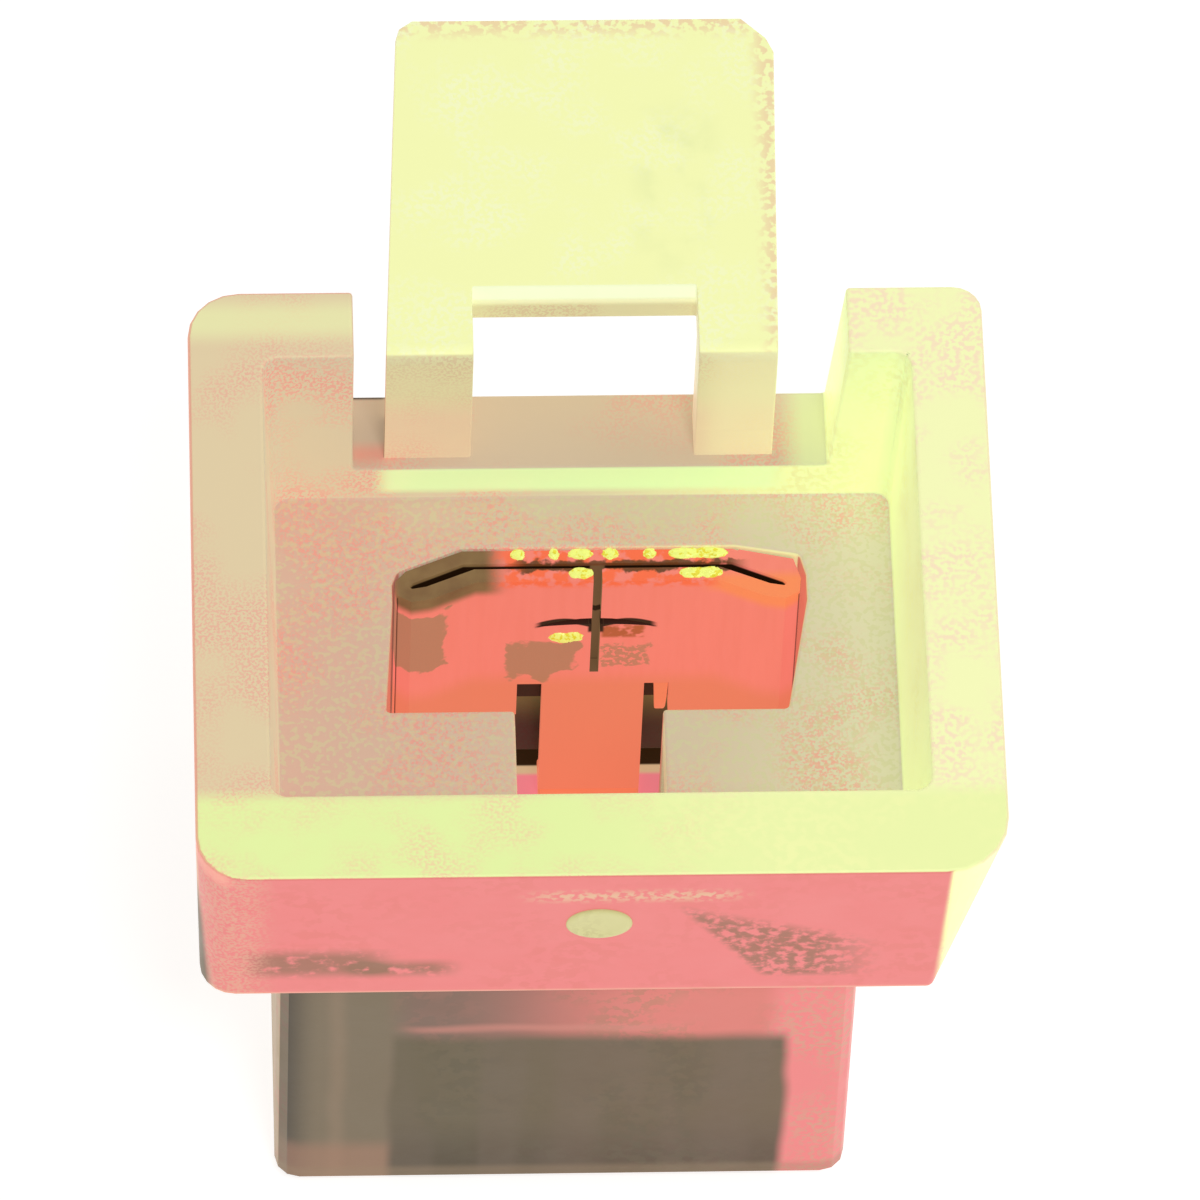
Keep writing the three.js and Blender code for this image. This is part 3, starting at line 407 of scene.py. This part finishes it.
def receptacle_material():
    """Bright copper with a painted glow, grey-brown patches, painted light and shade at the mouth's folds, a
    painted reflection under the slit, and painted shade on the slit lips, seam and inside faces.
    """
    graph = Graph("copper_receptacle", 0.45, 0.15)
    x = graph.math("SUBTRACT", graph.x, SEAM_X * MM)
    y, z = graph.y, graph.z
    rolled = graph.ramp(graph.noise(0.5, 3.0, (3.0, 1.0, 0.25)), 0.35, 0.7)
    metal = graph.mix(graph.times(rolled, 0.5), "EF8172", "EA7C6C")
    metal = graph.mix(graph.ramp(z, 5.9 * MM, 5.1 * MM), metal, "E47E60")
    # grey-brown patches: high on the left and on both sides of the seam
    wave = graph.math("MULTIPLY", graph.math("SUBTRACT", graph.noise(0.5, 3.0), 0.5), 0.9 * MM)
    rough_x, rough_z = graph.math("ADD", x, wave), graph.math("ADD", z, wave)
    left_patch = graph.times(graph.span(rough_x, -4.3, -3.15, 0.05), graph.span(rough_z, 6.45, 8.5, 0.05))
    left_low = graph.times(graph.span(rough_x, -3.7, -3.1, 0.05), graph.span(rough_z, 6.3, 7.1, 0.05))
    middle_left = graph.times(
        graph.span(rough_x, -1.85, -0.35, 0.05), graph.span(rough_z, 5.5, 6.8, 0.05),
        graph.ramp(graph.math("SUBTRACT", rough_z, graph.times(x, 0.5)), 6.0 * MM, 6.1 * MM),
    )
    middle_right = graph.times(graph.span(rough_x, 0.12, 1.1, 0.05), graph.span(rough_z, 5.9, 6.75, 0.05))
    patches = graph.math("MAXIMUM", graph.math("MAXIMUM", left_patch, left_low), middle_left)
    broken = graph.ramp(graph.noise(0.12, 2.0), 0.4, 0.5)
    metal = graph.mix(graph.times(patches, 0.8), metal, "A27A5A")
    metal = graph.mix(graph.times(middle_right, broken, 0.7), metal, "A27A5A")
    # painted reflection: a brown-orange patch under the slit, right of the seam
    under_slit = graph.times(graph.span(x, 0.12, 1.0, 0.06), graph.span(z, SLIT_Z - 0.42, SLIT_Z + 0.03, 0.06))
    reflection_breakup = graph.ramp(graph.noise(0.3, 2.0), 0.35, 0.5)
    metal = graph.mix(graph.times(under_slit, reflection_breakup, 0.9), metal, "A8552A")
    # painted shade round the left fold at the mouth, and a warm painted light along the right fold
    fold = graph.times(graph.span(x, -4.3, -2.05, 0.3), graph.ramp(z, 8.5 * MM, 8.85 * MM))
    metal = graph.mix(graph.times(fold, 0.92), metal, graph.mix(graph.noise(0.5), "7E7044", "4E4020"))
    warm = graph.times(
        graph.span(x, 2.3, 4.3, 0.3), graph.ramp(z, 8.55 * MM, 8.9 * MM), graph.ramp(y, 3.3 * MM, 3.0 * MM)
    )
    metal = graph.mix(graph.times(warm, 0.8), metal, "F48A50")
    # a redder orange along the lips, broken up
    lips = graph.times(graph.span(x, -2.0, 2.4, 0.3), graph.ramp(z, 8.8 * MM, 9 * MM))
    lip_breakup = graph.ramp(graph.noise(0.25, 3.0), 0.42, 0.55)
    metal = graph.mix(graph.times(lips, lip_breakup, 0.9), metal, "F2683E")
    # painted shade: a ragged dark line between the lips
    ragged = graph.math("MULTIPLY", graph.math("SUBTRACT", graph.noise(0.35, 3.0), 0.5), 0.5 * MM)
    between = graph.times(
        graph.span(graph.math("ADD", y, ragged), 3.26, 3.5, 0.03),
        graph.span(x, -1.7, 2.9, 0.3), graph.ramp(z, 8.9 * MM, 9 * MM),
    )
    metal = graph.mix(graph.times(between, 0.92), metal, "54381A")
    # cut faces that look up, and the inside of the barrel, are in shade
    cuts = graph.ramp(graph.facing_z, 0.4, 0.7)
    flap_inside = graph.ramp(graph.facing_y, 0.3, 0.6)
    plate_inside = graph.times(graph.ramp(y, 3.36 * MM, 3.4 * MM), graph.ramp(graph.facing_y, -0.3, -0.6))
    past_fold = graph.math("MAXIMUM", graph.math("SUBTRACT", graph.math("ABSOLUTE", x), 2.7 * MM), 0.0)
    hollow = graph.times(
        graph.ramp(graph.math("ADD", y, graph.times(past_fold, 0.42)), 3.26 * MM, 3.3 * MM),
        graph.ramp(graph.facing_y, -0.2, -0.4), graph.ramp(graph.math("ABSOLUTE", x), 2.5 * MM, 2.7 * MM),
    )
    plate_inside = graph.math("MAXIMUM", plate_inside, hollow)
    shaded = graph.math("MAXIMUM", graph.math("MAXIMUM", cuts, flap_inside), plate_inside)
    below_mouth = graph.ramp(z, (MOUTH - 0.06) * MM, (MOUTH - 0.12) * MM)
    in_seam = graph.times(graph.span(x, -0.15, 0.15, 0.02), graph.ramp(z, 5.4 * MM, 5.6 * MM))
    tone = graph.mix(in_seam, "1C0E04", "6E5236")
    metal = graph.mix(graph.times(shaded, below_mouth), metal, tone)
    # painted shade on the walls of the seam
    seam_walls = graph.times(in_seam, graph.ramp(graph.math("ABSOLUTE", graph.facing_x), 0.5, 0.8))
    metal = graph.mix(seam_walls, metal, "7C6040")
    # painted shade: dark lips of the cross slit, two low humps that dip at the seam
    along = graph.times(graph.math("ABSOLUTE", x), math.pi / (SLIT_HALF_X * MM))
    hump = graph.math("ADD", graph.times(graph.math("SINE", along), 0.2 * MM), SLIT_Z * MM)
    away = graph.math("ABSOLUTE", graph.math("SUBTRACT", z, hump))
    lip = graph.times(
        graph.ramp(away, 0.12 * MM, 0.07 * MM), graph.ramp(graph.math("ABSOLUTE", x), SLIT_HALF_X * MM, 1.1 * MM)
    )
    front = graph.ramp(graph.facing_y, -0.4, -0.7)
    # painted shade where the slit cuts through the seam's walls, no deeper than the flap is thick
    crossing = graph.times(
        graph.span(x, -0.16, 0.16, 0.03), graph.span(z, SLIT_Z - 0.22, SLIT_Z + 0.13, 0.05),
        graph.ramp(y, (FLAP_BACK_Y + 0.04) * MM, FLAP_BACK_Y * MM),
    )
    slit_dark = graph.math("MAXIMUM", graph.times(lip, front), crossing)
    metal = graph.mix(slit_dark, metal, "1C0E04")
    # painted glow: the copper gives off light in its own colours
    graph.colour(metal, 0.78, 0.62)
    graph.bump(graph.noise(0.25, 3.0, (3.0, 1.0, 0.3)), 0.15, 0.02)
    return graph.material


def strap_material():
    graph = Graph("copper_strap", 0.4, 0.2)
    lines = graph.noise(0.3, 3.0, (0.2, 3.0, 3.0))
    # painted glow: the strap gives off light in its own colours
    graph.colour(graph.mix(lines, "F08660", "E87C58"), 0.75, 0.6)
    graph.bump(lines, 0.15, 0.01)
    return graph.material


def glint_material():
    graph = Graph("painted_glint", 0.3, 0.1)
    broken = graph.ramp(graph.noise(0.1, 2.0), 0.52, 0.62)
    # painted glints that give off light
    graph.colour(graph.mix(broken, "F6FF86", "ECE040"), 0.6, 0.5)
    return graph.material


def brushed_metal(name, light, dark, roughness, metallic=1.0):
    graph = Graph(name, roughness, metallic)
    lines = graph.noise(0.3, 3.0, (0.2, 3.0, 3.0))
    graph.colour(graph.mix(lines, light, dark))
    graph.bump(lines, 0.15, 0.01)
    return graph.material


def dull_plastic(name, light, dark):
    graph = Graph(name, 0.55)
    graph.colour(graph.mix(graph.noise(0.6, 3.0), light, dark))
    graph.bump(graph.noise(0.15, 3.0), 0.15, 0.01)
    return graph.material


def mark_material():
    graph = Graph("nylon_mark", 0.45)
    graph.colour(graph.mottled("C4BF83", "AEA56C", 0.12, 0.8), NYLON_GLOW)
    satin(graph)
    return graph.material


# ---- Mesh work ------------------------------------------------------------------------
def place(obj, material, body=None):
    """Puts a piece in the scene with its material and body."""
    if obj.name not in bpy.context.scene.collection.objects:
        bpy.context.scene.collection.objects.link(obj)
    obj.data.materials.clear()
    obj.data.materials.append(material)
    if body:
        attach(obj, body)
    return obj


def from_bmesh(name, bm):
    mesh = bpy.data.meshes.new(name)
    bm.to_mesh(mesh)
    bm.free()
    for polygon in mesh.polygons:
        polygon.use_smooth = True
    return bpy.data.objects.new(name, mesh)


def with_modifiers(obj, bevel_mm, angle, segments):
    """The object's mesh with rounded edges and evenly shaded flats, applied."""
    bpy.context.scene.collection.objects.link(obj)
    bevel = obj.modifiers.new("round", "BEVEL")
    bevel.width = bevel_mm * MM
    bevel.segments = segments
    bevel.limit_method = "ANGLE"
    bevel.angle_limit = math.radians(angle)
    bevel.miter_outer = "MITER_ARC"
    normals = obj.modifiers.new("flats", "WEIGHTED_NORMAL")
    normals.weight = 60
    depsgraph = bpy.context.evaluated_depsgraph_get()
    mesh = bpy.data.meshes.new_from_object(obj.evaluated_get(depsgraph))
    obj.modifiers.clear()
    obj.data = mesh
    return obj


def cleaned(node):
    """A welded copy of a CAD node's mesh, with flat faces joined up."""
    bm = bmesh.new()
    bm.from_mesh(bpy.data.objects[node].data)
    bmesh.ops.remove_doubles(bm, verts=bm.verts, dist=2e-6)
    bmesh.ops.dissolve_limit(
        bm, angle_limit=math.radians(1.0), verts=bm.verts, edges=bm.edges, use_dissolve_boundaries=False
    )
    return bm


def skin(node, material, body, bevel_mm, angle=28, segments=3):
    """A finer copy of a CAD node with rounded edges, which stands for it."""
    obj = with_modifiers(from_bmesh(node + "_skin", cleaned(node)), bevel_mm, angle, segments)
    place(obj, material, body)
    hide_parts(node)
    return obj


def latch_skin(material):
    """The lever as one mesh, cut across near its root."""
    low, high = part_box("latch_lever")
    bend_height = 0.9 * MM
    sunk = 0.12 * MM  # the feet reach this far into the notch's floor
    cuts = 8
    bm = cleaned("latch_lever")
    for i in range(1, cuts + 1):  # before the bevel, so that its normals stay whole
        geometry = bm.verts[:] + bm.edges[:] + bm.faces[:]
        height = low.z + bend_height * i / cuts
        bmesh.ops.bisect_plane(bm, geom=geometry, plane_co=(0, 0, height), plane_no=(0, 0, 1))
    for vertex in bm.verts:
        if vertex.co.z < low.z + bend_height / cuts / 2:
            vertex.co.z -= sunk
    obj = with_modifiers(from_bmesh("latch_lever_skin", bm), 0.12, 28, 3)
    place(obj, material)
    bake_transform(obj)
    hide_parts("latch_lever")
    return obj


def turned(name, profile, axis_matrix, sides=32):
    """A closed solid from (radius, height) points that start and end on the axis."""
    bm = bmesh.new()
    rings = []
    for radius, height in profile:
        if radius == 0:
            rings.append([bm.verts.new((0, 0, height))])
            continue
        angles = [2 * math.pi * i / sides for i in range(sides)]
        rings.append([bm.verts.new((radius * math.cos(a), radius * math.sin(a), height)) for a in angles])
    for lower, upper in zip(rings, rings[1:]):
        for i in range(sides):
            j = (i + 1) % sides
            corners = [
                lower[i % len(lower)], lower[j % len(lower)], upper[j % len(upper)], upper[i % len(upper)],
            ]
            unique = list(dict.fromkeys(corners))
            if len(unique) > 2:
                bm.faces.new(unique)
    bmesh.ops.recalc_face_normals(bm, faces=bm.faces)
    bm.transform(axis_matrix)
    return from_bmesh(name, bm)


def ejector_mark(material):
    """Round mark left by the mould on the near side of the flange."""
    low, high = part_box("front_shroud")
    slope_in, flange_height = 0.65, 5.4  # the near side slopes in toward the rear
    lean = math.atan2(slope_in, flange_height)
    drop = 2.2 * MM
    left_of_middle = 0.05 * MM
    centre = Vector((-left_of_middle, low.y + drop * math.tan(lean), high.z - drop))
    turn = Matrix.Translation(centre) @ Matrix.Rotation(math.pi / 2 + lean, 4, "X")
    radius = 0.66 * MM
    lip = 0.05 * MM
    profile = [
        (0, -lip), (radius, -lip), (radius, lip * 0.4), (radius * 0.93, lip * 0.8),
        (radius * 0.84, lip), (radius * 0.7, lip * 0.7), (radius * 0.4, lip * 0.6), (0, lip * 0.6),
    ]
    place(turned("ejector_mark", profile, turn), material, "housing")


def flecks(name, material, spots, y, height_mm):
    """Rough bright flecks of painted glint on the plating: (x from the seam, z, length), in mm."""
    half_depth, lump_wobble = 0.13, 0.02
    bm = bmesh.new()
    for x, z, length in spots:
        size = Vector((length / 2, half_depth, height_mm / 2)) * MM
        move = Matrix.Translation(Vector((x + SEAM_X, y, z)) * MM)
        matrix = move @ Matrix.Diagonal((*size, 1))
        lumps = bmesh.ops.create_icosphere(bm, subdivisions=3, radius=1.0, matrix=matrix)
        for vertex in lumps["verts"]:
            vertex.co += Vector(random.uniform(-lump_wobble, lump_wobble) * MM for _ in range(3))
    place(from_bmesh(name, bm), material, "housing")


def mouth_flecks(material):
    """Painted glints as flecks along both lips of the mouth, as (x from the seam, length), and one under the
    slit.
    """
    far_lip = [
        (-1.62, 0.3), (-0.88, 0.22), (-0.34, 0.52), (0.27, 0.34), (1.07, 0.26), (1.8, 0.7), (2.3, 0.75),
    ]
    near_lip = [(-0.34, 0.5), (1.95, 0.6), (2.3, 0.5)]
    flecks("mouth_flecks_far", material, [(x, MOUTH, length) for x, length in far_lip], 3.66, 0.12)
    flecks("mouth_flecks_near", material, [(x, MOUTH, length) for x, length in near_lip], 3.19, 0.12)
    flecks("slit_fleck", material, [(-0.68, 7.02, 0.6), (-0.45, 7.04, 0.45)], 3.04, 0.34)


def notch_tongue(material):
    """Small bent tongue of sheet in the right-hand relief notch."""
    path = [(3.12, 5.28), (3.04, 5.0), (3.02, 4.6), (3.08, 4.2), (3.2, 3.95)]  # (y, z), downward
    middle = SEAM_X + 1.4
    thick = 0.12
    half_width, narrowing = 0.16, 0.015
    bm = bmesh.new()
    rings = []
    for i, (y, z) in enumerate(path):
        half = half_width - narrowing * i
        near_edge = [(middle - half, y), (middle + half, y)]
        far_edge = [(middle + half, y + thick), (middle - half, y + thick)]
        rings.append([bm.verts.new(Vector((cx, cy, z)) * MM) for cx, cy in near_edge + far_edge])
    for upper, lower in zip(rings, rings[1:]):
        for i in range(4):
            j = (i + 1) % 4
            bm.faces.new((upper[i], upper[j], lower[j], lower[i]))
    bm.faces.new(rings[0][::-1])
    bm.faces.new(rings[-1])
    bmesh.ops.recalc_face_normals(bm, faces=bm.faces)
    obj = with_modifiers(from_bmesh("notch_tongue", bm), 0.03, 28, 2)
    place(obj, material, "housing")


def wound_coil(material):
    """The winding with its turns showing, in place of a smooth sleeve."""
    low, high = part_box("coil_winding")
    centre = (low + high) / 2
    outer = (high.z - low.z) / 2
    wire = 0.11 * MM
    turns = int((high.x - low.x) / (2 * wire))
    pitch = (high.x - low.x) / turns
    depth = 0.5 * MM
    inner = outer - depth
    bm = bmesh.new()
    sides, steps = 28, 5  # round the coil, and along each turn
    profile = [(inner, low.x)]
    for turn in range(turns):
        for step in range(steps):
            part = (step + 0.5) / steps
            profile.append((outer - wire * (1 - math.sin(math.pi * part)), low.x + pitch * (turn + part)))
    profile.append((inner, high.x))
    rings = []
    for radius, x in profile:
        angles = [2 * math.pi * i / sides for i in range(sides)]
        rings.append([
            bm.verts.new((x, centre.y + radius * math.cos(a), centre.z + radius * math.sin(a)))
            for a in angles
        ])
    for lower, upper in zip(rings, rings[1:] + rings[:1]):
        for i in range(sides):
            j = (i + 1) % sides
            bm.faces.new((lower[i], lower[j], upper[j], upper[i]))
    bmesh.ops.recalc_face_normals(bm, faces=bm.faces)
    obj = place(from_bmesh("coil_turns", bm), material, "housing")
    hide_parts("coil_winding")


# ---- Pieces ---------------------------------------------------------------------------
def build_pieces():
    copper = brushed_metal("copper_strip", "E9805F", "C9604A", 0.35)
    iron = brushed_metal("plated_iron", "A9A9A4", "83837E", 0.4)
    silver = brushed_metal("silver_contact", "E4E4DE", "BDBDB6", 0.25)
    enamel = brushed_metal("enamelled_wire", "B4562C", "8E3F1E", 0.35, 0.7)
    moulded = dull_plastic("dark_moulding", "4D4838", "38342A")

    skin("front_shroud", shroud_material(), "housing", 0.12)
    latch_skin(latch_material())
    skin("rear_case", case_material(), "housing", 0.12)
    skin("rear_base", base_material(), "housing", 0.06)
    skin("blade_receptacle", receptacle_material(), "housing", 0.05, 35, 2)
    skin("yoke", iron, "housing", 0.08)
    skin("armature", iron, "armature_set", 0.06)
    strap = strap_material()
    skin("common_strap", strap, "housing", 0.05)
    notch_tongue(strap)
    wound_coil(enamel)
    ejector_mark(mark_material())

    mouth_flecks(glint_material())

    rest = {
        "coil_bobbin": moulded, "suppression_resistor": moulded, "iron_core": iron, "leaf_rivet": iron,
        "spring_rivet": iron, "return_leaf": copper, "contact_spring": copper, "terminal_no": copper,
        "terminal_nc": copper, "coil_terminal_a": copper, "coil_terminal_b": copper,
        "moving_contact": silver, "contact_no": silver, "contact_nc": silver,
        "coil_lead_a": enamel, "coil_lead_b": enamel,
    }
    for node, material in rest.items():
        bpy.data.objects[node].material_slots[0].material = material


# ---- Floor, light and camera ----------------------------------------------------------
def stage():
    """Pale floor, white surroundings and two soft lamps."""
    bpy.ops.mesh.primitive_plane_add(size=3.0, location=(0, 0, 0))
    floor = bpy.context.object
    floor.name = "floor"
    graph = Graph("pale_floor", 0.9)
    graph.colour("FFFFFF", 0.78, 0.45)
    graph.shader.inputs["Specular IOR Level"].default_value = 0.0
    floor.data.materials.append(graph.material)

    world = bpy.data.worlds.new("studio")
    world.use_nodes = True
    world.node_tree.nodes["Background"].inputs["Color"].default_value = (1, 1, 1, 1)
    world.node_tree.nodes["Background"].inputs["Strength"].default_value = 0.34
    bpy.context.scene.world = world

    def area(name, location, size, power):
        light = bpy.data.lights.new(name, "AREA")
        light.shape = "DISK"
        light.size = size
        light.energy = power
        obj = bpy.data.objects.new(name, light)
        obj.location = location
        obj.rotation_euler = (-Vector(location)).to_track_quat("-Z", "Y").to_euler()
        bpy.context.scene.collection.objects.link(obj)

    area("key_light", (0.14, 0.05, 0.2), 0.14, 0.05)
    area("front_light", (0.03, -0.14, 0.26), 0.06, 0.18)
    bpy.context.scene.view_settings.view_transform = "Standard"


# Viewing angles in degrees, distance in metres and lens in millimetres
AZIMUTH = -4.0
ELEVATION = 56.86
ROLL = 2.75
DISTANCE = 0.28
TARGET = Vector((0.287, 2.282, 9.5)) * MM
LENS = 413.4


def camera():
    """Long-lens camera that looks into the recess from the near side."""
    data = bpy.data.cameras.new("camera")
    data.lens = LENS
    data.sensor_width = 36.0
    data.clip_start = 0.01
    obj = bpy.data.objects.new("camera", data)
    azimuth, elevation = math.radians(AZIMUTH), math.radians(ELEVATION)
    back = Vector((
        math.sin(azimuth) * math.cos(elevation),
        -math.cos(azimuth) * math.cos(elevation),
        math.sin(elevation),
    ))
    turn = back.to_track_quat("Z", "Y").to_matrix().to_4x4()
    obj.matrix_world = Matrix.Translation(TARGET + back * DISTANCE) @ turn @ Matrix.Rotation(
        math.radians(ROLL), 4, "Z"
    )
    bpy.context.scene.collection.objects.link(obj)
    bpy.context.scene.camera = obj


build_pieces()
stage()
camera()
